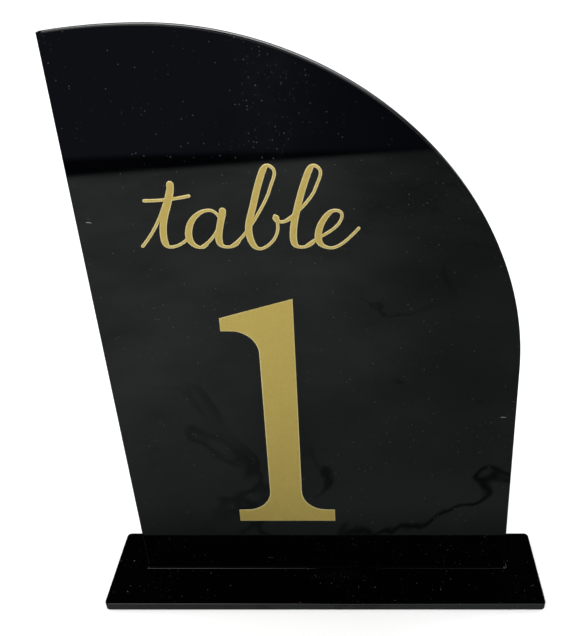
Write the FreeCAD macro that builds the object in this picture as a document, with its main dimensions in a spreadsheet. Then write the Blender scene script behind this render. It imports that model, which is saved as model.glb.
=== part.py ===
import FreeCAD, Part
import math
import os
import Sketcher
from FreeCAD import Placement, Rotation, Vector

# Table number sign: a half-arch acrylic panel that stands in the slot of a flat acrylic base strip,
# with a cut-vinyl word and a cut-vinyl numeral on its front face.
# Frame: origin at the centre of the base strip's underside, +Z up, the sign's face towards -Y.

os.makedirs("parts", exist_ok=True)
document = FreeCAD.newDocument("table_number_sign")

# Driving dimensions in millimetres. Heights are measured from the base's underside.
DIMENSIONS = [
    ("sheet_thickness", 3.0, "both acrylic pieces are cut from one sheet"),
    ("arris", 0.3, "polished rounding along the cut edges"),
    ("base_width", 150.4, "base strip, left to right"),
    ("base_depth", 34.0, "base strip, front to back"),
    ("base_corner", 1.5, "rounding of the base strip's four corners"),
    ("slot_setback", 1.1, "middle of the slot, behind the base strip's centre line"),
    ("slot_side_gap", 0.1, "clearance on each face of the panel in the slot"),
    ("slot_end_gap", 0.5, "clearance at each end of the slot"),
    ("slot_lip", 0.25, "bevel along the mouths of the slot"),
    ("panel_width", 127.0, "width of the panel's foot"),
    ("panel_top", 179.5, "height of the arch's highest point"),
    ("arch_radius", 98.2, "large arc of the arch"),
    ("apex_inset", 24.2, "highest point, from the straight left edge"),
    ("shoulder_drop", 1.8, "left corner, below the highest point"),
    ("vinyl_thickness", 0.1, "cut vinyl"),
    ("numeral_centre", -12.8, "middle of the numeral's stem, from the origin"),
    ("numeral_foot", 25.9, "underside of the numeral's slab"),
    ("numeral_height", 84.1, "numeral, foot to tip"),
    ("stem_width", 10.5, "numeral stem"),
    ("slab_width", 32.2, "numeral foot slab"),
    ("slab_height", 5.1, "numeral foot slab"),
    ("bracket_radius", 8.0, "curves between the stem and the slab"),
    ("flag_reach", 10.6, "flag, out from the stem"),
    ("flag_drop", 6.1, "fall of the flag's top edge"),
    ("flag_end", 4.2, "height of the flag's blunt end"),
    ("flag_curve", 7.6, "curve under the flag"),
    ("word_left", -47.0, "start of the lettering"),
    ("word_baseline", 125.0, "line that the letters stand on"),
    ("letter_height", 10.6, "height of a small letter"),
    ("letter_slant", 12.0, "slant of the letters, in degrees"),
    ("thick_stroke", 1.9, "width of the letters' downstrokes"),
    ("thin_stroke", 0.85, "width of the letters' upstrokes"),
]

sheet = document.addObject("Spreadsheet::Sheet", "dims")
for row, (alias, value, note) in enumerate(DIMENSIONS, start=1):
    sheet.set(f"A{row}", alias)
    sheet.set(f"B{row}", str(value))
    sheet.set(f"C{row}", note)
    sheet.setAlias(f"B{row}", alias)
document.recompute()


def size(alias):
    """Return a driving dimension from the spreadsheet, in millimetres."""
    return float(sheet.get(alias))


START, END, CENTRE = 1, 2, 3


def new_body(label):
    """Add an empty body that is one piece of the sign."""
    body = document.addObject("PartDesign::Body", label)
    body.Label = label
    return body


def new_sketch(body, name, plane_role):
    """Add a sketch on one of the body's own origin planes."""
    plane = next(item for item in body.Origin.OriginFeatures if item.Role == plane_role)
    sketch = body.newObject("Sketcher::SketchObject", name)
    sketch.AttachmentSupport = [(plane, "")]
    sketch.MapMode = "FlatFace"
    return sketch


def relate(sketch, *parts):
    """Add one geometric constraint."""
    return sketch.addConstraint(Sketcher.Constraint(*parts))


def dimension(sketch, name, formula, *parts):
    """Add one dimension and bind it to the spreadsheet."""
    index = relate(sketch, *parts)
    sketch.renameConstraint(index, name)
    sketch.setExpression(f"Constraints.{name}", formula)


def add_line(sketch, first, second):
    """Draw a line and return it as (geometry, entry point, exit point)."""
    geometry = sketch.addGeometry(Part.LineSegment(Vector(*first, 0), Vector(*second, 0)))
    return geometry, START, END


def add_arc(sketch, centre, radius, from_degrees, to_degrees, backwards=False):
    """Draw an arc and return it as (geometry, entry point, exit point) along the outline."""
    circle = Part.Circle(Vector(*centre, 0), Vector(0, 0, 1), radius)
    arc = Part.ArcOfCircle(circle, math.radians(from_degrees), math.radians(to_degrees))
    geometry = sketch.addGeometry(arc)
    return (geometry, END, START) if backwards else (geometry, START, END)


def close_outline(sketch, pieces, smooth):
    """Join each piece of an outline to the next, tangent where the pair is in smooth."""
    for index, (geometry, _, leave) in enumerate(pieces):
        following, enter, _ = pieces[(index + 1) % len(pieces)]
        kind = "Tangent" if index in smooth else "Coincident"
        relate(sketch, kind, geometry, leave, following, enter)


def edges_at(shape, axis, places):
    """Name the edges that lie wholly in one of the planes where the axis has a value in places."""
    names = []
    for number, edge in enumerate(shape.Edges, start=1):
        box = edge.BoundBox
        low, high = (box.YMin, box.YMax) if axis == "Y" else (box.ZMin, box.ZMax)
        if any(abs(low - place) < 1e-4 and abs(high - place) < 1e-4 for place in places):
            names.append(f"Edge{number}")
    return names


# Base strip: a rectangle with eased corners and a slot right through for the panel's foot.

def draw_centred_rectangle(sketch, width_formula, depth_formula, half_width, half_depth):
    """Draw a rectangle centred on the origin, with its two sizes bound to formulas."""
    corners = [(-half_width, -half_depth), (half_width, -half_depth),
               (half_width, half_depth), (-half_width, half_depth)]
    front, right, back, left = [
        add_line(sketch, corner, corners[(index + 1) % 4]) for index, corner in enumerate(corners)
    ]
    close_outline(sketch, [front, right, back, left], smooth=())
    for side in (front, back):
        relate(sketch, "Horizontal", side[0])
    for side in (right, left):
        relate(sketch, "Vertical", side[0])
    relate(sketch, "Symmetric", front[0], START, back[0], START, -1, START)
    dimension(sketch, "width", width_formula, "DistanceX", front[0], START, front[0], END, 2 * half_width)
    dimension(sketch, "depth", depth_formula, "DistanceY", right[0], START, right[0], END, 2 * half_depth)


def build_base_plate():
    """Make the base strip."""
    body = new_body("base_plate")
    outline = new_sketch(body, "base_outline", "XY_Plane")
    draw_centred_rectangle(outline, "dims.base_width", "dims.base_depth",
                           size("base_width") / 2, size("base_depth") / 2)
    plate = body.newObject("PartDesign::Pad", "base_sheet")
    plate.Profile = outline
    plate.setExpression("Length", "dims.sheet_thickness")
    document.recompute()

    corners = body.newObject("PartDesign::Fillet", "base_corners")
    upright = [
        f"Edge{number}" for number, edge in enumerate(plate.Shape.Edges, start=1)
        if edge.BoundBox.ZLength > size("sheet_thickness") / 2
    ]
    corners.Base = (plate, upright)
    corners.setExpression("Radius", "dims.base_corner")
    document.recompute()

    eased = body.newObject("PartDesign::Fillet", "base_arrises")
    eased.Base = (corners, edges_at(corners.Shape, "Z", (0.0, size("sheet_thickness"))))
    eased.setExpression("Radius", "dims.arris")
    document.recompute()
    whole_volume = eased.Shape.Volume

    slot_outline = new_sketch(body, "slot_outline", "XY_Plane")
    slot_outline.setExpression("AttachmentOffset.Base.y", "dims.slot_setback")
    draw_centred_rectangle(slot_outline,
                           "dims.panel_width + 2 * dims.slot_end_gap",
                           "dims.sheet_thickness + 2 * dims.slot_side_gap",
                           size("panel_width") / 2 + size("slot_end_gap"),
                           size("sheet_thickness") / 2 + size("slot_side_gap"))
    slot = body.newObject("PartDesign::Pocket", "panel_slot")
    slot.Profile = slot_outline
    slot.Type = "ThroughAll"
    slot.Midplane = True
    document.recompute()
    assert slot.Shape.Volume < whole_volume - 1000, "the slot cuts nothing"

    lips = body.newObject("PartDesign::Chamfer", "slot_lips")
    reach = size("panel_width") / 2 + size("slot_end_gap") + 0.01
    mouth = size("sheet_thickness") / 2 + size("slot_side_gap") + 0.01
    lips.Base = (slot, [
        name for name in edges_at(slot.Shape, "Z", (0.0, size("sheet_thickness")))
        if abs(slot.Shape.getElement(name).CenterOfMass.y - size("slot_setback")) < mouth
        and abs(slot.Shape.getElement(name).CenterOfMass.x) < reach
    ])
    lips.setExpression("Size", "dims.slot_lip")
    return body


# Sign panel: straight left edge, an arch that runs over the top and down the right side, and a
# straight right edge that leans out a little to the foot. The foot goes through the base's slot.

def build_sign_panel():
    """Make the half-arch panel."""
    body = new_body("sign_panel")
    sketch = new_sketch(body, "panel_outline", "XZ_Plane")
    sketch.setExpression("AttachmentOffset.Base.z", "-dims.slot_setback")
    left = -size("panel_width") / 2
    right = size("panel_width") / 2
    top = size("panel_top")
    apex = left + size("apex_inset")
    centre_height = top - size("arch_radius")
    shoulder = top - size("shoulder_drop")
    crown_radius = size("apex_inset") ** 2 / (2 * size("shoulder_drop"))
    lean = 3.0
    tangent_point = (apex + size("arch_radius") * math.cos(math.radians(lean)),
                     centre_height + size("arch_radius") * math.sin(math.radians(lean)))

    foot = add_line(sketch, (left, 0), (right, 0))
    right_edge = add_line(sketch, (right, 0), tangent_point)
    arch = add_arc(sketch, (apex, centre_height), size("arch_radius"), lean, 90)
    crown = add_arc(sketch, (apex, top - crown_radius), crown_radius, 90, 98)
    left_edge = add_line(sketch, (left, shoulder), (left, 0))
    close_outline(sketch, [foot, right_edge, arch, crown, left_edge], smooth=(1, 2))

    relate(sketch, "Horizontal", foot[0])
    relate(sketch, "Vertical", left_edge[0])
    relate(sketch, "Symmetric", foot[0], START, foot[0], END, -1, START)
    relate(sketch, "Vertical", arch[0], END, arch[0], CENTRE)
    dimension(sketch, "width", "dims.panel_width",
              "DistanceX", foot[0], START, foot[0], END, size("panel_width"))
    dimension(sketch, "top", "dims.panel_top", "DistanceY", -1, START, arch[0], END, top)
    dimension(sketch, "radius", "dims.arch_radius", "Radius", arch[0], size("arch_radius"))
    dimension(sketch, "inset", "dims.apex_inset",
              "DistanceX", foot[0], START, arch[0], CENTRE, size("apex_inset"))
    dimension(sketch, "shoulder", "dims.panel_top - dims.shoulder_drop",
              "DistanceY", left_edge[0], END, left_edge[0], START, shoulder)

    panel = body.newObject("PartDesign::Pad", "panel_sheet")
    panel.Profile = sketch
    panel.setExpression("Length", "dims.sheet_thickness")
    panel.Midplane = True
    document.recompute()

    half = size("sheet_thickness") / 2
    faces = (size("slot_setback") - half, size("slot_setback") + half)
    eased = body.newObject("PartDesign::Fillet", "panel_arrises")
    eased.Base = (panel, edges_at(panel.Shape, "Y", faces))
    eased.setExpression("Radius", "dims.arris")
    return body


# Numeral: an upright slab-footed figure with curved brackets and a sloping flag, cut from vinyl
# and laid on the panel's front face.

def build_numeral_decal():
    """Make the vinyl numeral."""
    body = new_body("numeral_decal")
    sketch = new_sketch(body, "numeral_outline", "XZ_Plane")
    sketch.setExpression("AttachmentOffset.Base.z", "dims.sheet_thickness / 2 - dims.slot_setback")

    middle = size("numeral_centre")
    foot = size("numeral_foot")
    tip = foot + size("numeral_height")
    slab_top = foot + size("slab_height")
    slab_left = middle - size("slab_width") / 2
    slab_right = middle + size("slab_width") / 2
    stem_left = middle - size("stem_width") / 2
    stem_right = middle + size("stem_width") / 2
    bracket = size("bracket_radius")
    flag_left = stem_left - size("flag_reach")
    flag_top = tip - size("flag_drop")
    flag_bottom = flag_top - size("flag_end")
    curve = size("flag_curve")

    underside = add_line(sketch, (slab_left, foot), (slab_right, foot))
    slab_end = add_line(sketch, (slab_right, foot), (slab_right, slab_top))
    right_ledge = add_line(sketch, (slab_right, slab_top), (stem_right + bracket, slab_top))
    right_bracket = add_arc(sketch, (stem_right + bracket, slab_top + bracket), bracket, 180, 270, True)
    right_side = add_line(sketch, (stem_right, slab_top + bracket), (stem_right, tip))
    slope = add_line(sketch, (stem_right, tip), (flag_left, flag_top))
    blunt_end = add_line(sketch, (flag_left, flag_top), (flag_left, flag_bottom))
    flag_under = add_line(sketch, (flag_left, flag_bottom), (stem_left - curve, flag_bottom))
    flag_arc = add_arc(sketch, (stem_left - curve, flag_bottom - curve), curve, 0, 90, True)
    left_side = add_line(sketch, (stem_left, flag_bottom - curve), (stem_left, slab_top + bracket))
    left_bracket = add_arc(sketch, (stem_left - bracket, slab_top + bracket), bracket, 270, 360, True)
    left_ledge = add_line(sketch, (stem_left - bracket, slab_top), (slab_left, slab_top))
    slab_start = add_line(sketch, (slab_left, slab_top), (slab_left, foot))
    close_outline(sketch, [underside, slab_end, right_ledge, right_bracket, right_side, slope, blunt_end,
                           flag_under, flag_arc, left_side, left_bracket, left_ledge, slab_start],
                  smooth=(2, 3, 7, 8, 9, 10))

    for piece in (underside, right_ledge, flag_under, left_ledge):
        relate(sketch, "Horizontal", piece[0])
    for piece in (slab_end, right_side, blunt_end, left_side, slab_start):
        relate(sketch, "Vertical", piece[0])
    relate(sketch, "Horizontal", right_ledge[0], START, left_ledge[0], END)
    relate(sketch, "Equal", left_bracket[0], right_bracket[0])

    dimension(sketch, "foot", "dims.numeral_foot", "DistanceY", -1, START, underside[0], START, foot)
    dimension(sketch, "slab_height", "dims.slab_height",
              "DistanceY", slab_end[0], START, slab_end[0], END, size("slab_height"))
    dimension(sketch, "numeral_height", "dims.numeral_height",
              "DistanceY", underside[0], END, slope[0], START, size("numeral_height"))
    dimension(sketch, "slab_width", "dims.slab_width",
              "DistanceX", underside[0], START, underside[0], END, size("slab_width"))
    dimension(sketch, "stem_width", "dims.stem_width",
              "DistanceX", left_side[0], END, right_side[0], START, size("stem_width"))
    dimension(sketch, "slab_side", "(dims.slab_width - dims.stem_width) / 2",
              "DistanceX", underside[0], START, left_side[0], END, stem_left - slab_left)
    dimension(sketch, "stem_place", "-dims.numeral_centre - dims.stem_width / 2",
              "DistanceX", right_side[0], START, -1, START, -stem_right)
    dimension(sketch, "bracket", "dims.bracket_radius", "Radius", right_bracket[0], bracket)
    dimension(sketch, "flag_reach", "dims.flag_reach",
              "DistanceX", blunt_end[0], START, left_side[0], START, size("flag_reach"))
    dimension(sketch, "flag_drop", "dims.flag_drop",
              "DistanceY", slope[0], END, slope[0], START, size("flag_drop"))
    dimension(sketch, "flag_end", "dims.flag_end",
              "DistanceY", blunt_end[0], END, blunt_end[0], START, size("flag_end"))
    dimension(sketch, "flag_curve", "dims.flag_curve", "Radius", flag_arc[0], curve)

    decal = body.newObject("PartDesign::Pad", "numeral_vinyl")
    decal.Profile = sketch
    decal.setExpression("Length", "dims.vinyl_thickness")
    return body


# Lettering: one joined piece of vinyl in a plain looped school hand. The letters are drawn upright on
# a regular grid, in units of a tenth of the height of a small letter: small letters are 10 high and
# loops are 21 high. The grid is then scaled and slanted. The pen is wider where it moves downwards.

STROKES = {
    "t_rise": [(0.0, 0.6), (2.6, 5.2), (4.5, 11.0), (5.2, 15.0)],
    "t_fall": [(5.6, 16.4), (5.0, 9.0), (5.0, 3.6), (6.4, 0.6), (8.8, 0.8), (11.4, 4.4)],
    "t_bar": [(-0.4, 12.4), (5.2, 12.7), (10.4, 13.6)],
    "a_bowl": [(18.4, 8.2), (15.8, 10.0), (12.6, 8.6), (11.2, 5.0), (12.3, 1.5), (14.6, 0.3), (16.2, 1.3)],
    "a_rise": [(15.0, 0.5), (17.0, 2.4), (18.8, 7.6)],
    "a_fall": [(19.0, 9.8), (18.8, 4.2), (20.0, 0.8), (22.2, 0.5), (24.2, 2.4)],
    "b_rise": [(22.2, 0.5), (24.2, 2.4), (27.0, 7.2), (28.6, 11.0), (29.7, 14.8), (30.2, 17.8)],
    "b_fall": [(29.7, 14.8), (30.2, 17.8), (29.8, 20.2), (28.5, 21.0), (27.1, 18.6), (26.2, 10.0),
               (26.6, 3.2), (29.2, 0.0), (32.2, 1.5), (33.3, 5.2), (32.0, 8.6)],
    "b_link": [(32.4, 8.0), (33.2, 7.2), (34.8, 7.2), (37.0, 9.2)],
    "l_rise": [(34.8, 7.2), (37.0, 9.2), (39.2, 12.0), (40.6, 14.8), (41.2, 17.8)],
    "l_fall": [(40.6, 14.8), (41.2, 17.8), (40.8, 20.2), (39.5, 21.0), (38.1, 18.6), (37.2, 10.0),
               (37.4, 3.8), (38.8, 0.7), (41.0, 0.5), (43.0, 2.2)],
    "e_rise": [(41.0, 0.5), (43.0, 2.2), (45.6, 4.0), (47.8, 6.0), (48.6, 8.0)],
    "e_fall": [(47.8, 6.0), (48.6, 8.0), (48.2, 9.4), (46.8, 10.0), (44.5, 8.2), (43.6, 4.8), (44.6, 1.4),
               (47.2, 0.2), (50.4, 1.6), (53.4, 5.4)],
}

SAMPLES_PER_SPAN = 4


def pen_width(heading):
    """Return the width of the stroke for a heading: thick going down, thin going up or across."""
    fall = max(0.0, -heading.z)
    return size("thin_stroke") + (size("thick_stroke") - size("thin_stroke")) * fall ** 2


def stroke_face(grid_points):
    """Return the flat face of one pen stroke, with round ends, in the front plane of the sign."""
    unit = size("letter_height") / 10
    slant = math.tan(math.radians(size("letter_slant")))
    middle = Part.BSplineCurve()
    middle.interpolate([Vector((across + up * slant) * unit, 0, up * unit) for across, up in grid_points])
    knots = middle.getKnots()
    places = [
        before + (after - before) * step / SAMPLES_PER_SPAN
        for before, after in zip(knots, knots[1:]) for step in range(SAMPLES_PER_SPAN)
    ] + [knots[-1]]
    left_side, right_side = [], []
    for place in places:
        heading = middle.tangent(place)[0]
        offset = Vector(-heading.z, 0, heading.x) * (pen_width(heading) / 2)
        left_side.append(middle.value(place) + offset)
        right_side.append(middle.value(place) - offset)
    first_reach = middle.tangent(knots[0])[0] * (left_side[0] - right_side[0]).Length / 2
    last_reach = middle.tangent(knots[-1])[0] * (left_side[-1] - right_side[-1]).Length / 2
    left_edge, right_edge = Part.BSplineCurve(), Part.BSplineCurve()
    left_edge.interpolate(left_side)
    right_edge.interpolate(right_side)
    outline = Part.Wire([
        left_edge.toShape(),
        Part.Arc(left_side[-1], middle.value(knots[-1]) + last_reach, right_side[-1]).toShape(),
        right_edge.toShape(),
        Part.Arc(right_side[0], middle.value(knots[0]) - first_reach, left_side[0]).toShape(),
    ])
    return Part.Face(outline)


def build_word_decal():
    """Make the vinyl lettering from its strokes, joined into one piece."""
    depth = Vector(0, -size("vinyl_thickness"), 0)
    strokes = [stroke_face(points).extrude(depth) for points in STROKES.values()]
    lettering = strokes[0].fuse(strokes[1:]).removeSplitter()
    feature = document.addObject("Part::Feature", "word_decal")
    feature.Label = "word_decal"
    assert len(lettering.Solids) == 1, "the letters aren't joined into one piece"
    feature.Shape = lettering.Solids[0]
    front_face = size("slot_setback") - size("sheet_thickness") / 2
    feature.Placement = Placement(Vector(size("word_left"), front_face, size("word_baseline")), Rotation())
    return feature


pieces = [build_base_plate(), build_sign_panel(), build_numeral_decal(), build_word_decal()]
document.recompute()

for item in document.Objects:
    faults = [word for word in item.State if word in ("Invalid", "Error")]
    assert not faults, f"{item.Label}: {faults}"
for piece in pieces:
    assert not piece.Shape.isNull() and piece.Shape.isValid(), f"{piece.Label} has a bad shape"
    assert len(piece.Shape.Solids) == 1, f"{piece.Label} has {len(piece.Shape.Solids)} solids"
for piece in pieces:
    piece.Shape.exportStep(f"parts/{piece.Label}.step")
    box = piece.Shape.BoundBox
    print(piece.Label, f"volume {piece.Shape.Volume:.1f}, x {box.XMin:.2f} {box.XMax:.2f},",
          f"y {box.YMin:.2f} {box.YMax:.2f}, z {box.ZMin:.2f} {box.ZMax:.2f}")
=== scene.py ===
"""Looks of a half-arch table number sign: gloss black acrylic, slotted base strip, gold vinyl lettering."""

import logging
import math
from dataclasses import dataclass, field
from enum import Enum

import bmesh
import bpy
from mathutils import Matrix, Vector


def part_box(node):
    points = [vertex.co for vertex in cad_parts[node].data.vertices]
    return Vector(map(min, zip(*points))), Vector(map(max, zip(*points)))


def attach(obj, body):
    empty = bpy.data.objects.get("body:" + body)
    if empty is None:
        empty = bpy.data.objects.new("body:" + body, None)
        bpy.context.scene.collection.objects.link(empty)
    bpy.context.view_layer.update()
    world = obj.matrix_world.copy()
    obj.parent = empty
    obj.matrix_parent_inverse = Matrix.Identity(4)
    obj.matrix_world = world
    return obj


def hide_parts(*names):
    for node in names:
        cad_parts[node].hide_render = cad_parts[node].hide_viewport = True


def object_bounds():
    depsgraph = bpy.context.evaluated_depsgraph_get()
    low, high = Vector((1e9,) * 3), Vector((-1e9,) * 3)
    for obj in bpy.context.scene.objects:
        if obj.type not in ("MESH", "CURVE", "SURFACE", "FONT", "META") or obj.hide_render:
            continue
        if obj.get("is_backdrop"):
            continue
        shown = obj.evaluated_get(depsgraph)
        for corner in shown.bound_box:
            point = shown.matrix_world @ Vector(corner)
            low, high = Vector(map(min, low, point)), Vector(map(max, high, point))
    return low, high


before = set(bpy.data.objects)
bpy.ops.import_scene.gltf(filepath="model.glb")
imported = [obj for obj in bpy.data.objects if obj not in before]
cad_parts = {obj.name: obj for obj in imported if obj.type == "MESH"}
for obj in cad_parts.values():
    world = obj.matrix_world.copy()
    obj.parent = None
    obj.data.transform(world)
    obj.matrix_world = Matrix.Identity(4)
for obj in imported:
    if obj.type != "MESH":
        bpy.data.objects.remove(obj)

LOG = logging.getLogger("table_sign")
MILLIMETRE = 0.001
BEAD_STEPS = 5
VECTOR, VALUE = "NodeSocketVector", "NodeSocketFloat"

# Settled dust comes in three grades: cells to a metre, the speck's share of its cell, how many there are.
DUST_GRADES = ((1050.0, 0.22, 0.8), (1700.0, 0.24, 0.5), (430.0, 0.085, 0.08))
# Hairline rubs run three ways: the turn of each set of lines and where its pattern starts.
RUB_SETS = ((0.4, 0.0), (-0.9, 3.7), (1.5, 8.1))

Point = tuple[float, float]
Place = tuple[float, float, float]
Colour = tuple[float, float, float]
Socket = bpy.types.NodeSocket


class Lie(Enum):
    """How a flat sheet lies: which way its faces look."""

    STANDING = "faces look along Y"
    FLAT = "faces look along Z"

    def place(self, across: float, along: float, depth: float) -> Vector:
        """Turn a point of the sheet's outline and a depth into a place.

        Args:
            across: first outline coordinate, always X.
            along: second outline coordinate, Z when standing and Y when flat.
            depth: place through the sheet's thickness.

        Returns:
            The point in the object's frame.
        """
        if self is Lie.STANDING:
            return Vector((across, depth, along))
        return Vector((across, along, depth))

    @property
    def axis(self) -> Place:
        """The direction through the sheet's thickness."""
        return (0.0, 1.0, 0.0) if self is Lie.STANDING else (0.0, 0.0, 1.0)


# Meshes ------------------------------------------------------------------------------------------


@dataclass
class CutLine:
    """One closed cut through a sheet, with the material on the left of its points.

    A cut may have a bead: a low ridge of re-cast material beside it on the sheet's high face. A bead
    of negative height is an edge that the knife has pressed down.
    """

    points: list[Point]
    arris: float
    bead: float = 0.0
    bead_spread: float = 0.0

    def inward(self) -> list[Point]:
        """Work out the mitred direction into the material at each point.

        Returns:
            One vector for each point, a little longer than 1 at corners.
        """
        count = len(self.points)
        normals = []
        for index, point in enumerate(self.points):
            after = self.points[(index + 1) % count]
            run = Vector(after) - Vector(point)
            run.normalize()
            normals.append(Vector((-run.y, run.x)))
        result = []
        for index in range(count):
            before, after = normals[index - 1], normals[index]
            mitre = (before + after) / max(0.4, 1.0 + before.dot(after))
            result.append((mitre.x, mitre.y))
        return result


@dataclass
class CutSheet:
    """A sheet of even thickness with cut outlines and rounded arrises."""

    lines: list[CutLine]
    low: float
    high: float
    lie: Lie
    arris_steps: int = 4

    def profile(self, line: CutLine) -> list[tuple[float, float]]:
        """List the rings of a cut, from the low face to the high face.

        Args:
            line: the cut.

        Returns:
            How far each ring is set into the material, and its level.
        """
        turns = [step / self.arris_steps for step in range(self.arris_steps + 1)]
        rounding = [(line.arris * (1 - math.sin(math.pi / 2 * turn)),
                     line.arris * (1 - math.cos(math.pi / 2 * turn))) for turn in turns]
        up = 1.0 if self.high > self.low else -1.0
        rings = [(inset, self.low + up * depth) for inset, depth in rounding]
        for turn, (inset, depth) in zip(turns, reversed(rounding)):
            rings.append((inset, self.high - up * (depth - line.bead * turn)))
        if line.bead:
            for step in range(1, BEAD_STEPS + 1):
                left = 0.5 + 0.5 * math.cos(math.pi * step / BEAD_STEPS)
                rings.append((line.arris + line.bead_spread * step / BEAD_STEPS,
                              self.high + up * line.bead * left))
        return rings

    def build(self, name: str) -> bpy.types.Object:
        """Build the sheet as one closed mesh.

        Args:
            name: name of the new piece.

        Returns:
            The new object, linked to the scene.
        """
        mesh = bmesh.new()
        ends: list[list[bmesh.types.BMEdge]] = [[], []]
        for line in self.lines:
            inward = line.inward()
            rings = [
                [mesh.verts.new(self.lie.place(x + dx * inset, y + dy * inset, level))
                 for (x, y), (dx, dy) in zip(line.points, inward)]
                for inset, level in self.profile(line)
            ]
            count = len(line.points)
            for lower, upper in zip(rings, rings[1:]):
                for index in range(count):
                    after = (index + 1) % count
                    face = mesh.faces.new((lower[index], lower[after], upper[after], upper[index]))
                    face.smooth = True
            for side, ring in enumerate((rings[0], rings[-1])):
                ends[side] += [mesh.edges.get((ring[i], ring[(i + 1) % count])) for i in range(count)]
        for edges in ends:
            filled = bmesh.ops.triangle_fill(mesh, edges=edges, use_beauty=True)
            for item in filled["geom"]:
                if isinstance(item, bmesh.types.BMFace):
                    item.smooth = False
        bmesh.ops.recalc_face_normals(mesh, faces=mesh.faces)
        data = bpy.data.meshes.new(name)
        mesh.to_mesh(data)
        mesh.free()
        piece = bpy.data.objects.new(name, data)
        bpy.context.scene.collection.objects.link(piece)
        return piece


def arc(centre: Point, radius: float, start: float, stop: float, steps: int) -> list[Point]:
    """List evenly spaced points of an arc.

    Args:
        centre: middle of the arc.
        radius: its radius.
        start: angle of the first point, in radians.
        stop: angle of the last point, in radians.
        steps: how many equal turns the arc has.

    Returns:
        The points from start to stop, both included.
    """
    angles = [start + (stop - start) * step / steps for step in range(steps + 1)]
    return [(centre[0] + radius * math.cos(a), centre[1] + radius * math.sin(a)) for a in angles]


def eased_rectangle(half_width: float, half_depth: float, corner: float, steps: int) -> list[Point]:
    """Outline a rectangle with round corners, centred on the origin, anticlockwise.

    Args:
        half_width: half its size across.
        half_depth: half its size along.
        corner: radius of its corners.
        steps: turns in each corner.

    Returns:
        The outline's points.
    """
    points: list[Point] = []
    for quarter, (side_x, side_y) in enumerate([(1, 1), (-1, 1), (-1, -1), (1, -1)]):
        centre = (side_x * (half_width - corner), side_y * (half_depth - corner))
        start = quarter * math.pi / 2
        points += arc(centre, corner, start, start + math.pi / 2, steps)
    return points


# Shader groups -----------------------------------------------------------------------------------


class NodeMaker:
    """Short-hand for adding and linking the nodes of one tree."""

    def __init__(self, tree: bpy.types.NodeTree) -> None:
        """Remember the tree that nodes go into."""
        self.tree = tree

    def add(self, kind: str, inputs: dict | None = None, **settings: object) -> bpy.types.Node:
        """Add a node, set its properties and feed its inputs.

        Args:
            kind: the node's type name.
            inputs: for each input's name or number, a value or an output socket to link from.
            **settings: properties of the node.

        Returns:
            The new node.
        """
        node = self.tree.nodes.new(kind)
        for name, value in settings.items():
            setattr(node, name, value)
        for key, value in (inputs or {}).items():
            if isinstance(value, Socket):
                self.tree.links.new(value, node.inputs[key])
            else:
                node.inputs[key].default_value = value
        return node

    def math(self, operation: str, *values: float | Socket) -> Socket:
        """Add a Math node and return its output."""
        node = self.add("ShaderNodeMath", dict(enumerate(values)), operation=operation)
        return node.outputs[0]

    def band(self, value: Socket, low: float | Socket, high: float | Socket, to_low: float = 0.0,
             to_high: float = 1.0) -> Socket:
        """Add a smooth ramp of a value and return its output.

        Args:
            value: socket to ramp.
            low: value, or socket of the value, at which the ramp starts.
            high: value, or socket of the value, at which it ends.
            to_low: output at and below low.
            to_high: output at and above high.

        Returns:
            The ramp's output socket.
        """
        node = self.add("ShaderNodeMapRange", {"Value": value, "From Min": low, "From Max": high,
                                               "To Min": to_low, "To Max": to_high},
                        interpolation_type="SMOOTHSTEP")
        return node.outputs[0]

    def blend(self, share: Socket, first: Socket | tuple, second: Socket | tuple) -> Socket:
        """Add a colour mix from first to second and return its output."""
        node = self.add("ShaderNodeMix", {0: share, 6: first, 7: second}, data_type="RGBA")
        return node.outputs[2]

    def noise(self, position: Socket, scale: float, detail: float = 2.0, rough: float = 0.5) -> Socket:
        """Add a noise texture and return its value."""
        node = self.add("ShaderNodeTexNoise", {"Vector": position, "Scale": scale, "Detail": detail,
                                               "Roughness": rough})
        return node.outputs[0]


def new_group(name: str, inputs: dict[str, str], outputs: dict[str, str]
              ) -> tuple[bpy.types.NodeTree, NodeMaker, bpy.types.Node, bpy.types.Node]:
    """Start a shader node group.

    Args:
        name: the group's name.
        inputs: socket type for each input's name.
        outputs: socket type for each output's name.

    Returns:
        The group, its maker, its input node and its output node.
    """
    group = bpy.data.node_groups.new(name, "ShaderNodeTree")
    for label, kind in inputs.items():
        group.interface.new_socket(label, in_out="INPUT", socket_type=kind)
    for label, kind in outputs.items():
        group.interface.new_socket(label, in_out="OUTPUT", socket_type=kind)
    maker = NodeMaker(group)
    return group, maker, group.nodes.new("NodeGroupInput"), group.nodes.new("NodeGroupOutput")


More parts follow.
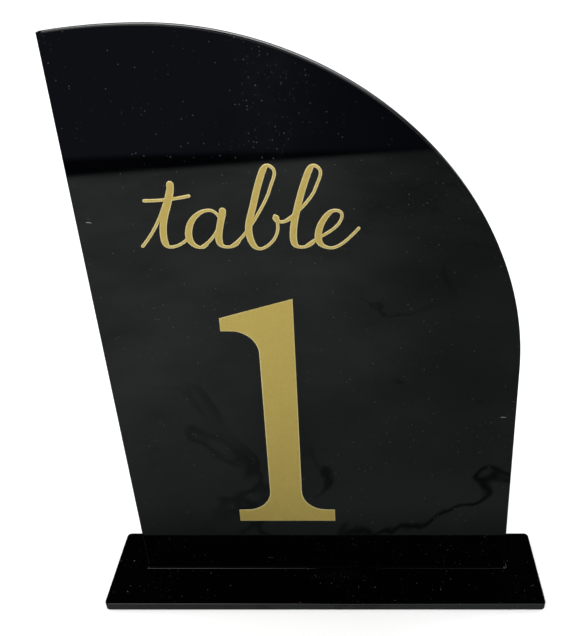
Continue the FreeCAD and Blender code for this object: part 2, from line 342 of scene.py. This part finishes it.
@dataclass
class EffectLibrary:
    """The shader groups that the finishes share, each built once."""

    dust: bpy.types.NodeTree = field(init=False)
    handling: bpy.types.NodeTree = field(init=False)
    cut_edge: bpy.types.NodeTree = field(init=False)
    grain: bpy.types.NodeTree = field(init=False)

    def __post_init__(self) -> None:
        """Build every group."""
        self.dust = self.build_dust()
        self.handling = self.build_handling()
        self.cut_edge = self.build_cut_edge()
        self.grain = self.build_grain()

    def build_dust(self) -> bpy.types.NodeTree:
        """Settled dust: fine scattered specks, thicker in drifts, and a few short threads of lint.

        Returns:
            A group with a mask of the dust and its height.
        """
        group, make, given, result = new_group(
            "settled_dust", {"Position": VECTOR, "Amount": VALUE, "Drift Place": VECTOR,
                             "Drift Reach": VECTOR, "Spread": VALUE},
            {"Mask": VALUE, "Height": VALUE})
        position = given.outputs["Position"]
        away = make.add("ShaderNodeVectorMath", {0: position, 1: given.outputs["Drift Place"]},
                        operation="SUBTRACT").outputs[0]
        shrunk = make.add("ShaderNodeVectorMath", {0: away, 1: given.outputs["Drift Reach"]},
                          operation="DIVIDE").outputs[0]
        reach = make.add("ShaderNodeVectorMath", {0: shrunk}, operation="LENGTH").outputs["Value"]
        wander = make.math("ADD", reach, make.math("MULTIPLY", make.noise(position, 90.0, 3.0), 1.1))
        drift = make.band(wander, 1.8, 0.7)
        clouds = make.noise(position, 41.0, 3.0)
        loose = make.math("MULTIPLY", make.band(clouds, 0.45, 0.68), 0.16)
        chance = make.math("ADD", make.math("MULTIPLY", make.math("ADD", loose, 0.04),
                                            given.outputs["Spread"]),
                           make.math("MULTIPLY", drift, 0.34))
        dust = None
        for cells, reach_share, likelihood in DUST_GRADES:
            speck = make.add("ShaderNodeTexVoronoi", {"Vector": position, "Scale": cells,
                                                      "Randomness": 1.0})
            random = make.add("ShaderNodeSeparateColor", {0: speck.outputs["Color"]})
            barrier = make.math("SUBTRACT", 1.0, make.math("MULTIPLY", chance, likelihood))
            present = make.math("GREATER_THAN", random.outputs[0], barrier)
            bright = make.math("MULTIPLY_ADD", make.math("POWER", random.outputs[1], 5.0), 0.88, 0.12)
            dot = make.band(speck.outputs["Distance"], reach_share, reach_share * 0.35)
            layer = make.math("MULTIPLY", dot, make.math("MULTIPLY", present, bright))
            dust = layer if dust is None else make.math("MAXIMUM", dust, layer)
        bent = make.add("ShaderNodeTexNoise", {"Vector": position, "Scale": 330.0, "Detail": 1.0})
        sway = make.add("ShaderNodeVectorMath", {0: bent.outputs[1], "Scale": 0.0016}, operation="SCALE")
        swayed = make.add("ShaderNodeVectorMath", {0: position, 1: sway.outputs[0]},
                          operation="ADD").outputs[0]
        lint_space = make.add("ShaderNodeMapping", {"Vector": swayed, "Rotation": (0.0, 0.9, 0.35),
                                                    "Scale": (1.0, 1.0, 9.0)}).outputs[0]
        lint = make.add("ShaderNodeTexVoronoi", {"Vector": lint_space, "Scale": 55.0, "Randomness": 1.0})
        chosen = make.band(make.add("ShaderNodeSeparateColor", {0: lint.outputs["Color"]}).outputs[1],
                           0.972, 0.985)
        thread = make.band(lint.outputs["Distance"], 0.06, 0.045)
        veil = make.band(make.noise(position, 300.0, 3.0), 0.3, 0.8, 0.002, 0.007)
        haze = make.math("MULTIPLY", drift, veil)
        both = make.math("MAXIMUM", make.math("ADD", dust, haze), make.math("MULTIPLY", chosen, thread))
        mask = make.math("MULTIPLY", both, given.outputs["Amount"])
        make.tree.links.new(mask, result.inputs["Mask"])
        make.tree.links.new(both, result.inputs["Height"])
        return group

    def build_handling(self) -> bpy.types.NodeTree:
        """Traces of handling: a faint greasy bloom and fine hairline rubs.

        Returns:
            A group with a bloom mask, a hairline mask and the sheet's slow waviness.
        """
        group, make, given, result = new_group(
            "handling_traces", {"Position": VECTOR}, {"Bloom": VALUE, "Hairline": VALUE, "Waviness": VALUE})
        position = given.outputs["Position"]
        bloom = make.math("MULTIPLY", make.band(make.noise(position, 17.0, 4.0, 0.6), 0.5, 0.78),
                          make.band(make.noise(position, 900.0, 2.0), 0.3, 0.75, 0.4, 1.0))
        masks = []
        for turn, start in RUB_SETS:
            lines = make.add("ShaderNodeMapping", {"Vector": position, "Location": (start, start, start),
                                                   "Rotation": (turn, turn, turn),
                                                   "Scale": (14.0, 1900.0, 1900.0)}).outputs[0]
            masks.append(make.band(make.noise(lines, 1.0, 0.0), 0.735, 0.80))
        hairline = make.math("MAXIMUM", masks[0], make.math("MAXIMUM", masks[1], masks[2]))
        patchy = make.math("MULTIPLY", hairline, make.band(make.noise(position, 30.0), 0.5, 0.66))
        for value, name in ((bloom, "Bloom"), (patchy, "Hairline"),
                            (make.noise(position, 21.0, 1.0), "Waviness")):
            make.tree.links.new(value, result.inputs[name])
        return group

    def build_cut_edge(self) -> bpy.types.NodeTree:
        """The cut wall of a sheet: a mask of the wall and the fine ribs that cutting leaves on it.

        Returns:
            A group with the wall's mask and the ribs' height.
        """
        group, make, given, result = new_group(
            "cut_wall", {"Position": VECTOR, "Sheet Axis": VECTOR, "Rib Pitch": VALUE,
                         "Face Limit": VALUE, "Wall Limit": VALUE},
            {"Wall": VALUE, "Ribs": VALUE})
        normal = make.add("ShaderNodeTexCoord").outputs["Normal"]
        facing = make.add("ShaderNodeVectorMath", {0: normal, 1: given.outputs["Sheet Axis"]},
                          operation="DOT_PRODUCT").outputs["Value"]
        wall = make.band(make.math("ABSOLUTE", facing), given.outputs["Face Limit"],
                         given.outputs["Wall Limit"])
        through = make.add("ShaderNodeVectorMath", {0: given.outputs["Position"],
                                                    1: given.outputs["Sheet Axis"]},
                           operation="PROJECT").outputs[0]
        flattened = make.add("ShaderNodeVectorMath", {0: through, "Scale": 0.93},
                             operation="SCALE").outputs[0]
        along = make.add("ShaderNodeVectorMath", {0: given.outputs["Position"], 1: flattened},
                         operation="SUBTRACT").outputs[0]
        pitch = make.math("DIVIDE", 1.0, given.outputs["Rib Pitch"])
        ribs = make.add("ShaderNodeTexNoise", {"Vector": along, "Scale": pitch, "Detail": 2.0})
        make.tree.links.new(wall, result.inputs["Wall"])
        make.tree.links.new(make.math("MULTIPLY", ribs.outputs[0], wall), result.inputs["Ribs"])
        return group

    def build_grain(self) -> bpy.types.NodeTree:
        """Metal flake in a film: tiny plates at slightly different tilts, under a soft unevenness.

        Returns:
            A group with a brightness for each flake, the film's unevenness and its height.
        """
        group, make, given, result = new_group(
            "flake_grain", {"Position": VECTOR, "Flake Size": VALUE},
            {"Flake": VALUE, "Cloud": VALUE, "Height": VALUE})
        position = given.outputs["Position"]
        cells = make.math("DIVIDE", 1.0, given.outputs["Flake Size"])
        fine = make.add("ShaderNodeTexVoronoi", {"Vector": position, "Scale": cells})
        coarse = make.add("ShaderNodeTexVoronoi", {"Vector": position,
                                                   "Scale": make.math("MULTIPLY", cells, 0.32)})
        small = make.add("ShaderNodeSeparateColor", {0: fine.outputs["Color"]}).outputs[0]
        large = make.add("ShaderNodeSeparateColor", {0: coarse.outputs["Color"]}).outputs[0]
        flake = make.math("ADD", make.math("MULTIPLY", small, 0.35), make.math("MULTIPLY", large, 0.65))
        cloud = make.noise(position, 230.0, 5.0, 0.7)
        peel = make.noise(position, 2600.0, 2.0)
        height = make.math("ADD", make.math("MULTIPLY", flake, 0.6), peel)
        for value, name in ((flake, "Flake"), (cloud, "Cloud"), (height, "Height")):
            make.tree.links.new(value, result.inputs[name])
        return group


# Finishes ----------------------------------------------------------------------------------------


def new_material(name: str) -> tuple[bpy.types.Material, NodeMaker, bpy.types.Node, Socket]:
    """Start a material with a Principled shader.

    Args:
        name: the material's name.

    Returns:
        The material, its maker, its shader node and the position socket in the piece's own frame.
    """
    material = bpy.data.materials.new(name)
    material.use_nodes = True
    material.node_tree.nodes.clear()
    make = NodeMaker(material.node_tree)
    shader = make.add("ShaderNodeBsdfPrincipled")
    make.add("ShaderNodeOutputMaterial", {0: shader.outputs[0]})
    position = make.add("ShaderNodeTexCoord").outputs["Object"]
    return material, make, shader, position


@dataclass(frozen=True)
class GlossAcrylic:
    """Cast black acrylic sheet with a mirror gloss, laser-cut walls and a little dust."""

    effects: EffectLibrary
    lie: Lie
    drift_place: Place
    drift_reach: Place
    dust_spread: float = 1.0
    tint: Colour = (0.0004, 0.0004, 0.0005)
    dust_tint: Colour = (0.22, 0.22, 0.215)
    polish: float = 0.012
    bloom_roughness: float = 0.035
    wall_roughness: float = 0.16
    wall_haze: Colour = (0.0004, 0.0004, 0.0005)
    refraction: float = 1.49
    dust_amount: float = 0.9
    rib_pitch: float = 0.00022

    def build(self, name: str) -> bpy.types.Material:
        """Build the material.

        Args:
            name: the material's name.

        Returns:
            The finished material.
        """
        material, make, shader, position = new_material(name)
        shader.inputs["IOR"].default_value = self.refraction
        dust = make.add("ShaderNodeGroup", node_tree=self.effects.dust)
        handling = make.add("ShaderNodeGroup", node_tree=self.effects.handling)
        wall = make.add("ShaderNodeGroup", node_tree=self.effects.cut_edge)
        for group in (dust, handling, wall):
            make.tree.links.new(position, group.inputs["Position"])
        dust.inputs["Amount"].default_value = self.dust_amount
        dust.inputs["Drift Place"].default_value = self.drift_place
        dust.inputs["Drift Reach"].default_value = self.drift_reach
        dust.inputs["Spread"].default_value = self.dust_spread
        wall.inputs["Sheet Axis"].default_value = self.lie.axis
        wall.inputs["Rib Pitch"].default_value = self.rib_pitch
        wall.inputs["Face Limit"].default_value = 0.75
        wall.inputs["Wall Limit"].default_value = 0.25

        sheet = make.blend(wall.outputs["Wall"], (*self.tint, 1.0), (*self.wall_haze, 1.0))
        colour = make.blend(dust.outputs["Mask"], sheet, (*self.dust_tint, 1.0))
        make.tree.links.new(colour, shader.inputs["Base Color"])

        gloss = make.math("ADD", self.polish, make.math("MULTIPLY", handling.outputs["Bloom"],
                                                        self.bloom_roughness))
        rubbed = make.math("ADD", gloss, make.math("MULTIPLY", handling.outputs["Hairline"], 0.05))
        walled = make.math("ADD", rubbed, make.math("MULTIPLY", wall.outputs["Wall"], self.wall_roughness))
        dusty = make.math("ADD", walled, make.math("MULTIPLY", dust.outputs["Mask"], 0.8))
        make.tree.links.new(dusty, shader.inputs["Roughness"])

        wavy = make.add("ShaderNodeBump", {"Height": handling.outputs["Waviness"], "Strength": 1.0,
                                           "Distance": 0.000012})
        ribbed = make.add("ShaderNodeBump", {"Height": wall.outputs["Ribs"], "Strength": 0.8,
                                             "Distance": 0.00002, "Normal": wavy.outputs[0]})
        settled = make.add("ShaderNodeBump", {"Height": dust.outputs["Height"], "Strength": 0.6,
                                              "Distance": 0.00005, "Normal": ribbed.outputs[0]})
        make.tree.links.new(settled.outputs[0], shader.inputs["Normal"])
        return material


@dataclass(frozen=True)
class GoldFilm:
    """Gold metallic vinyl film with a satin face, fine flake and a pale rim painted on its cut edge as a
    highlight.
    """

    effects: EffectLibrary
    gold: Colour = (1.0, 0.775, 0.245)
    deep_gold: Colour = (0.86, 0.605, 0.15)
    # A pale colour for the film's cut edge: a painted highlight.
    painted_rim_highlight: Colour = (1.0, 0.86, 0.48)
    satin: float = 0.42
    metal: float = 0.95
    rim_highlight_metal: float = 0.75
    flake_size: float = 0.00012

    def build(self, name: str) -> bpy.types.Material:
        """Build the material.

        Args:
            name: the material's name.

        Returns:
            The finished material.
        """
        material, make, shader, position = new_material(name)
        grain = make.add("ShaderNodeGroup", node_tree=self.effects.grain)
        dust = make.add("ShaderNodeGroup", node_tree=self.effects.dust)
        wall = make.add("ShaderNodeGroup", node_tree=self.effects.cut_edge)
        for group in (grain, dust, wall):
            make.tree.links.new(position, group.inputs["Position"])
        grain.inputs["Flake Size"].default_value = self.flake_size
        dust.inputs["Amount"].default_value = 0.35
        dust.inputs["Drift Reach"].default_value = (0.001, 0.001, 0.001)
        dust.inputs["Spread"].default_value = 0.5
        wall.inputs["Sheet Axis"].default_value = Lie.STANDING.axis
        wall.inputs["Rib Pitch"].default_value = 0.0002
        wall.inputs["Face Limit"].default_value = 0.9995
        wall.inputs["Wall Limit"].default_value = 0.988

        mixed = make.math("ADD", make.math("MULTIPLY", grain.outputs["Flake"], 0.55),
                          make.math("MULTIPLY", grain.outputs["Cloud"], 0.45))
        body = make.blend(mixed, (*self.deep_gold, 1.0), (*self.gold, 1.0))
        # Painted highlight: a pale, less metallic colour on the cut edge stands in for the light rim that
        # the edge catches.
        rim_highlighted = make.blend(wall.outputs["Wall"], body, (*self.painted_rim_highlight, 1.0))
        make.tree.links.new(rim_highlighted, shader.inputs["Base Color"])
        bare = make.math("MULTIPLY", wall.outputs["Wall"], self.rim_highlight_metal - self.metal)
        make.tree.links.new(make.math("ADD", bare, self.metal), shader.inputs["Metallic"])

        rough = make.math("ADD", self.satin - 0.05, make.math("MULTIPLY", grain.outputs["Flake"], 0.12))
        dusty = make.math("ADD", rough, make.math("MULTIPLY", dust.outputs["Mask"], 0.3))
        make.tree.links.new(dusty, shader.inputs["Roughness"])

        bump = make.add("ShaderNodeBump", {"Height": grain.outputs["Height"], "Strength": 0.5,
                                           "Distance": 0.000012})
        make.tree.links.new(bump.outputs[0], shader.inputs["Normal"])
        return material


# Sub-assemblies ----------------------------------------------------------------------------------


def finish_piece(piece: bpy.types.Object, material: bpy.types.Material, body: str, node: str) -> None:
    """Dress a piece and tie it to the frame.

    Args:
        piece: the new piece.
        material: its finish.
        body: the body that it moves with.
        node: the frame's node that it stands for.
    """
    piece.data.materials.clear()
    piece.data.materials.append(material)
    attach(piece, body)
    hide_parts(node)
    LOG.info("%s: %d faces, rides on %s", piece.name, len(piece.data.polygons), body)


@dataclass
class BaseStrip:
    """The flat strip that the sign stands in, with its slot."""

    corner: float = 1.5 * MILLIMETRE
    arris: float = 0.3 * MILLIMETRE
    lip: float = 0.25 * MILLIMETRE
    slot_side_gap: float = 0.1 * MILLIMETRE
    slot_end_gap: float = 0.5 * MILLIMETRE
    slot_corner: float = 0.1 * MILLIMETRE
    bead: float = 0.05 * MILLIMETRE
    bead_spread: float = 0.11 * MILLIMETRE
    corner_steps: int = 8
    drift_place: Place = (0.004, -0.004, 0.003)
    drift_reach: Place = (0.012, 0.003, 0.01)
    wall_haze: Colour = (0.0098, 0.0102, 0.0100)

    def build(self) -> bpy.types.Object:
        """Build the strip round the frame's own box, with a slot round the panel's foot.

        Returns:
            The new piece.
        """
        low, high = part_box("base_plate")
        panel_low, panel_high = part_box("sign_panel")
        outside = eased_rectangle(high[0], high[1], self.corner, self.corner_steps)
        half_width = (panel_high[0] - panel_low[0]) / 2 + self.slot_end_gap
        half_depth = (panel_high[1] - panel_low[1]) / 2 + self.slot_side_gap
        middle = (panel_high[1] + panel_low[1]) / 2
        slot = [(x, y + middle) for x, y in eased_rectangle(half_width, half_depth, self.slot_corner, 2)]
        lines = [CutLine(outside, self.arris),
                 CutLine(list(reversed(slot)), self.lip, self.bead, self.bead_spread)]
        return CutSheet(lines, low[2], high[2], Lie.FLAT).build("base_strip")

    def dress(self, piece: bpy.types.Object, effects: EffectLibrary) -> None:
        """Give the strip its gloss black finish.

        Args:
            piece: the strip.
            effects: the shared shader groups.
        """
        material = GlossAcrylic(effects, Lie.FLAT, self.drift_place, self.drift_reach, dust_spread=0.9,
                                dust_amount=0.75, wall_haze=self.wall_haze).build("gloss_black_base")
        finish_piece(piece, material, "stand", "base_plate")


@dataclass
class ArchPanel:
    """The half-arch panel: straight left edge, arch over the top, right edge that widens to the foot."""

    arch_radius: float = 98.2 * MILLIMETRE
    apex_inset: float = 24.2 * MILLIMETRE
    shoulder_drop: float = 1.8 * MILLIMETRE
    arris: float = 0.3 * MILLIMETRE
    arch_steps: int = 96
    crown_steps: int = 16
    drift_place: Place = (-0.011, -0.001, 0.165)
    drift_reach: Place = (0.011, 0.02, 0.024)

    def outline(self) -> list[Point]:
        """Work out the panel's outline, anticlockwise from its left foot.

        Returns:
            The outline's points as X and Z.
        """
        low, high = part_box("sign_panel")
        apex = low[0] + self.apex_inset
        top = high[2]
        centre = (apex, top - self.arch_radius)
        foot = (high[0], low[2])
        reach = Vector((foot[0] - centre[0], foot[1] - centre[1]))
        touch = math.atan2(reach.y, reach.x) + math.acos(self.arch_radius / reach.length)
        crown_radius = (self.apex_inset ** 2 + self.shoulder_drop ** 2) / (2 * self.shoulder_drop)
        crown_turn = math.asin(self.apex_inset / crown_radius)
        arch = arc(centre, self.arch_radius, touch, math.pi / 2, self.arch_steps)
        crown = arc((apex, top - crown_radius), crown_radius, math.pi / 2, math.pi / 2 + crown_turn,
                    self.crown_steps)
        return [(low[0], low[2]), foot, *arch, *crown[1:]]

    def build(self) -> bpy.types.Object:
        """Build the panel.

        Returns:
            The new piece.
        """
        low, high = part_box("sign_panel")
        cut = CutLine(self.outline(), self.arris)
        return CutSheet([cut], low[1], high[1], Lie.STANDING).build("arch_panel")

    def dress(self, piece: bpy.types.Object, effects: EffectLibrary) -> None:
        """Give the panel its gloss black finish.

        Args:
            piece: the panel.
            effects: the shared shader groups.
        """
        material = GlossAcrylic(effects, Lie.STANDING, self.drift_place,
                                self.drift_reach).build("gloss_black_panel")
        finish_piece(piece, material, "sign", "sign_panel")


@dataclass
class FilmCutting:
    """A piece of cut vinyl on the panel's face, cut along the frame's own outline."""

    node: str
    name: str
    edge_round: float = 0.03 * MILLIMETRE
    edge_dip: float = 0.03 * MILLIMETRE
    dip_spread: float = 0.22 * MILLIMETRE
    shortest_cut: float = 0.02 * MILLIMETRE

    def cut_lines(self) -> list[CutLine]:
        """Read the outline of the node's front face.

        Returns:
            Every closed line of the outline, with the film on the left of its points.
        """
        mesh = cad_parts[self.node].data
        spots = [(round(v.co.x, 7), round(v.co.z, 7)) for v in mesh.vertices]
        runs = set()
        for face in mesh.polygons:
            if face.normal.y < -0.9:
                around = [spots[index] for index in face.vertices]
                runs.update(zip(around, around[1:] + around[:1]))
        following = {start: stop for start, stop in runs if (stop, start) not in runs and start != stop}
        lines = []
        while following:
            start, spot = following.popitem()
            points = [start]
            while spot != start:
                points.append(spot)
                spot = following.pop(spot)
            lines.append(CutLine(self.thinned(points), self.edge_round, -self.edge_dip, self.dip_spread))
        return lines

    def thinned(self, points: list[Point]) -> list[Point]:
        """Leave out points that are closer together than the knife can turn.

        Args:
            points: a closed line.

        Returns:
            The points that are kept.
        """
        kept = [points[0]]
        for point in points[1:]:
            if math.dist(point, kept[-1]) > self.shortest_cut:
                kept.append(point)
        if math.dist(kept[-1], kept[0]) < self.shortest_cut:
            kept.pop()
        return kept

    def build(self) -> bpy.types.Object:
        """Build the film with its soft cut edge.

        Returns:
            The new piece.
        """
        low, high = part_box(self.node)
        return CutSheet(self.cut_lines(), high[1], low[1], Lie.STANDING, arris_steps=3).build(self.name)

    def dress(self, piece: bpy.types.Object, material: bpy.types.Material) -> None:
        """Give the film its gold finish.

        Args:
            piece: the film.
            material: the finish that both films share.
        """
        finish_piece(piece, material, "sign", self.node)


# Stage -------------------------------------------------------------------------------------------


@dataclass(frozen=True)
class Softbox:
    """One soft light: its name, place, width and height, power in watts and colour."""

    name: str
    place: Place
    size: tuple[float, float]
    watts: float
    tint: Colour

    def hang(self, aim: Vector) -> None:
        """Hang the light.

        Args:
            aim: the point that it faces.
        """
        data = bpy.data.lights.new(self.name, "AREA")
        data.shape = "RECTANGLE"
        data.size, data.size_y = self.size
        data.energy = self.watts
        data.color = self.tint
        light = bpy.data.objects.new(self.name, data)
        light.location = self.place
        light.rotation_euler = (aim - Vector(self.place)).to_track_quat("-Z", "Y").to_euler()
        bpy.context.scene.collection.objects.link(light)


@dataclass
class Studio:
    """Plain pale floor, soft lights and camera."""

    floor_tint: Colour = (0.92, 0.92, 0.92)
    floor_half: float = 3.0
    front_edge: float = 0.497
    edge_turn: float = math.radians(14.0)
    drop_depth: tuple[float, float] = (0.052, 0.0)
    stone_lit: Colour = (0.455, 0.495, 0.47)
    stone_dim: Colour = (0.205, 0.232, 0.225)
    vein_depth: float = 0.8
    # Painted shade: the near-black drop along the worktop's front edge, and the dim room floor beyond it,
    # dimmer on the right.
    drop_shade: Colour = (0.006, 0.008, 0.014)
    floor_dim: Colour = (0.108, 0.118, 0.166)
    floor_deep_shade: Colour = (0.034, 0.039, 0.058)
    softboxes: tuple[Softbox, ...] = (
        Softbox("key", (-0.42, -0.26, 1.12), (0.80, 0.44), 3.4, (1.0, 0.98, 0.95)),
        Softbox("top_fill", (0.46, -0.26, 1.12), (0.70, 0.44), 0.6, (1.0, 0.99, 0.97)),
        Softbox("front_low", (0.0, -1.60, 0.46), (1.90, 0.70), 8.5, (1.0, 0.99, 0.97)),
        Softbox("side_back", (1.1, 0.75, 0.42), (0.5, 0.5), 2.0, (0.96, 0.98, 1.0)),
        Softbox("back_rim", (0.0, 1.45, 0.60), (1.6, 0.30), 2.4, (0.97, 0.98, 1.0)),
        Softbox("side_left", (-1.3, 0.30, 0.50), (0.4, 0.7), 3.0, (0.97, 0.98, 1.0)),
    )
    light_aim: Place = (0.0, 0.0, 0.08)
    sensor_width: float = 36.0
    camera_lens: float = 43.27
    camera_shift: tuple[float, float] = (-0.103, 0.129)
    camera_place: Place = (0.0089, -0.19206, 0.20739)
    camera_fall: float = 34.48

    def plane(self, name: str, corners: list[Point], height: float) -> bpy.types.Object:
        """Make a flat stage surface.

        Args:
            name: its name.
            corners: its corners, anticlockwise from above.
            height: its height.

        Returns:
            The surface, marked as stage.
        """
        data = bpy.data.meshes.new(name)
        data.from_pydata([(x, y, height) for x, y in corners], [], [tuple(range(len(corners)))])
        surface = bpy.data.objects.new(name, data)
        bpy.context.scene.collection.objects.link(surface)
        surface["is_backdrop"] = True
        return surface

    def stone_tone(self, make: NodeMaker, position: Socket, across: Socket, depth: Socket) -> Socket:
        """Shade the stone worktop: painted light makes it lighter away from the sign and to the left, and a
        painted contact shadow darkens it near the base; it is softly clouded, with a few dark veins.

        Args:
            make: the material's maker.
            position: place on the worktop.
            across: its part from left to right.
            depth: its part from front to back.

        Returns:
            The worktop's colour.
        """
        reach = make.add("ShaderNodeVectorMath", {0: position}, operation="LENGTH").outputs["Value"]
        # Painted light: the worktop is lighter to the left, behind the sign and away from it.
        lit_side = make.math("MAXIMUM", make.band(across, 0.075, -0.035), make.band(depth, 0.0, 0.16))
        lit = make.math("MULTIPLY", make.band(reach, 0.03, 0.19), lit_side)
        stone = make.blend(lit, (*self.stone_dim, 1.0), (*self.stone_lit, 1.0))
        cloud = make.band(make.noise(position, 13.0, 4.0, 0.55), 0.3, 0.7, 0.80, 1.14)
        # Painted contact shadow: darker within about two centimetres in front of the base, and behind it.
        painted_contact_shadow = make.band(depth, -0.018, -0.040, 0.60, 1.0)

        ridge = make.add("ShaderNodeTexNoise", {"Vector": position, "Scale": 8.0, "Detail": 4.0,
                                                "Roughness": 0.58, "Distortion": 0.7}).outputs[0]
        line = make.band(make.math("ABSOLUTE", make.math("SUBTRACT", ridge, 0.5)), 0.019, 0.0)
        near = make.band(reach, 0.26, 0.12, 0.25, 1.0)
        patches = make.math("MULTIPLY", make.band(make.noise(position, 10.0, 2.0), 0.44, 0.58), near)
        patch = make.math("MULTIPLY", patches, make.band(across, -0.10, 0.06, 0.35, 1.0))
        veined = make.math("MULTIPLY", make.math("MULTIPLY", line, patch), self.vein_depth)
        vein = make.math("SUBTRACT", 1.0, veined)
        # The marbling (clouds and veins) times the painted contact shadow.
        marbling_and_shadow = make.math("MULTIPLY", make.math("MULTIPLY", cloud, vein), painted_contact_shadow)
        return make.add("ShaderNodeVectorMath", {0: stone, "Scale": marbling_and_shadow}, operation="SCALE").outputs[0]

    def mirrored_room_material(self) -> bpy.types.Material:
        """Make a glowing stand-in for the surroundings below eye level, as the gloss acrylic mirrors them:
        a painted reflection.

        A stone worktop lies round the sign, with painted light that brightens it away from the sign and a
        painted contact shadow beside the base; a dark drop in painted shade follows its front edge, and dim
        floor, in painted shade that darkens towards the right, lies beyond.

        Returns:
            The material.
        """
        material = bpy.data.materials.new("mirrored_room")
        material.use_nodes = True
        material.node_tree.nodes.clear()
        make = NodeMaker(material.node_tree)
        position = make.add("ShaderNodeTexCoord").outputs["Object"]
        place = make.add("ShaderNodeSeparateXYZ", {0: position})
        across, depth = place.outputs[0], place.outputs[1]
        stone = self.stone_tone(make, position, across, depth)

        turned = make.math("MULTIPLY_ADD", across, math.tan(self.edge_turn), depth)
        beyond = make.math("SUBTRACT", make.math("MULTIPLY", turned, -1.0), self.front_edge)
        drop = make.band(across, 0.16, -0.26, self.drop_depth[1], self.drop_depth[0])
        past_drop = make.math("SUBTRACT", beyond, drop)
        # Painted shade: the room floor beyond the edge dims towards the right, and a near-black band
        # follows the edge.
        room_shade = make.blend(make.band(across, 0.12, -0.20), (*self.floor_deep_shade, 1.0),
                              (*self.floor_dim, 1.0))
        dark = make.blend(make.band(past_drop, -0.014, 0.014), (*self.drop_shade, 1.0), room_shade)
        tone = make.blend(make.band(beyond, -0.014, 0.010), stone, dark)
        # The worktop glows instead of being lit: a painted reflection, seen only in gloss.
        glow = make.add("ShaderNodeEmission", {"Color": tone})
        make.add("ShaderNodeOutputMaterial", {0: glow.outputs[0]})
        return material

    def build_floor(self) -> None:
        """Lay the pale floor, and under it a glowing worktop, a painted reflection seen only in gloss."""
        half = self.floor_half
        floor = self.plane("floor", [(-half, -half), (half, -half), (half, half), (-half, half)], 0.0)
        material = bpy.data.materials.new("pale_floor")
        material.use_nodes = True
        shader = material.node_tree.nodes["Principled BSDF"]
        shader.inputs["Base Color"].default_value = (*self.floor_tint, 1.0)
        shader.inputs["Roughness"].default_value = 0.9
        shader.inputs["Specular IOR Level"].default_value = 0.0
        floor.data.materials.append(material)
        floor.visible_glossy = False

        # A glowing stand-in seen only in gloss reflections: the painted reflection of the room.
        mirrored = self.plane("mirrored_room", [(-half, -half), (half, -half), (half, half), (-half, half)],
                              -0.0004)
        mirrored.data.materials.append(self.mirrored_room_material())
        mirrored.visible_camera = False
        mirrored.visible_diffuse = False
        mirrored.visible_shadow = False

    def build_world(self) -> None:
        """Fill the room: pale to look at, soft on matt surfaces, dark where gloss surfaces mirror it."""
        world = bpy.data.worlds.new("studio_room")
        world.use_nodes = True
        world.node_tree.nodes.clear()
        make = NodeMaker(world.node_tree)
        path = make.add("ShaderNodeLightPath")
        heading = make.add("ShaderNodeTexCoord").outputs["Generated"]
        height = make.add("ShaderNodeSeparateXYZ", {0: heading}).outputs[2]
        below = make.band(height, 0.02, -0.04)
        mirrored = make.blend(below, (0.002, 0.002, 0.0025, 1.0), (0.105, 0.115, 0.165, 1.0))
        soft = make.blend(path.outputs["Is Glossy Ray"], (1.10, 1.11, 1.12, 1.0), mirrored)
        seen = make.blend(path.outputs["Is Camera Ray"], soft, (1.0, 1.0, 1.0, 1.0))
        backdrop = make.add("ShaderNodeBackground", {"Color": seen, "Strength": 1.0})
        make.add("ShaderNodeOutputWorld", {0: backdrop.outputs[0]})
        bpy.context.scene.world = world

    def build_lights(self) -> None:
        """Hang the lights: a key and a fill above, a low one in front and three at the sides and back."""
        aim = Vector(self.light_aim)
        for softbox in self.softboxes:
            softbox.hang(aim)

    def build_camera(self) -> None:
        """Stand the camera in front of the sign, a little above it and looking down."""
        data = bpy.data.cameras.new("camera")
        data.sensor_width = self.sensor_width
        data.lens = self.camera_lens
        data.shift_x, data.shift_y = self.camera_shift
        camera = bpy.data.objects.new("camera", data)
        camera.location = self.camera_place
        camera.rotation_euler = (math.radians(90.0 - self.camera_fall), 0.0, 0.0)
        bpy.context.scene.collection.objects.link(camera)
        bpy.context.scene.camera = camera


def corners(box: tuple) -> list[list[float]]:
    """Turn a box into plain lists of numbers."""
    return [[float(value) for value in corner] for corner in box]


def main() -> None:
    """Build the stage and the sign's pieces in order, and measure the model's box before and after."""
    logging.basicConfig(level=logging.INFO, format="%(name)s: %(message)s")
    bpy.context.scene.view_settings.view_transform = "Standard"
    cad_box = corners(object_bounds())

    studio = Studio()
    studio.build_camera()
    studio.build_floor()
    studio.build_world()
    studio.build_lights()

    effects = EffectLibrary()
    for part in (BaseStrip(), ArchPanel()):
        part.dress(part.build(), effects)
    gold = GoldFilm(effects).build("gold_film")
    for film in (FilmCutting("word_decal", "film_lettering"), FilmCutting("numeral_decal", "film_numeral")):
        film.dress(film.build(), gold)

    {"cad_box": cad_box, "visual_box": corners(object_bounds())}


if __name__ == "__main__":
    main()
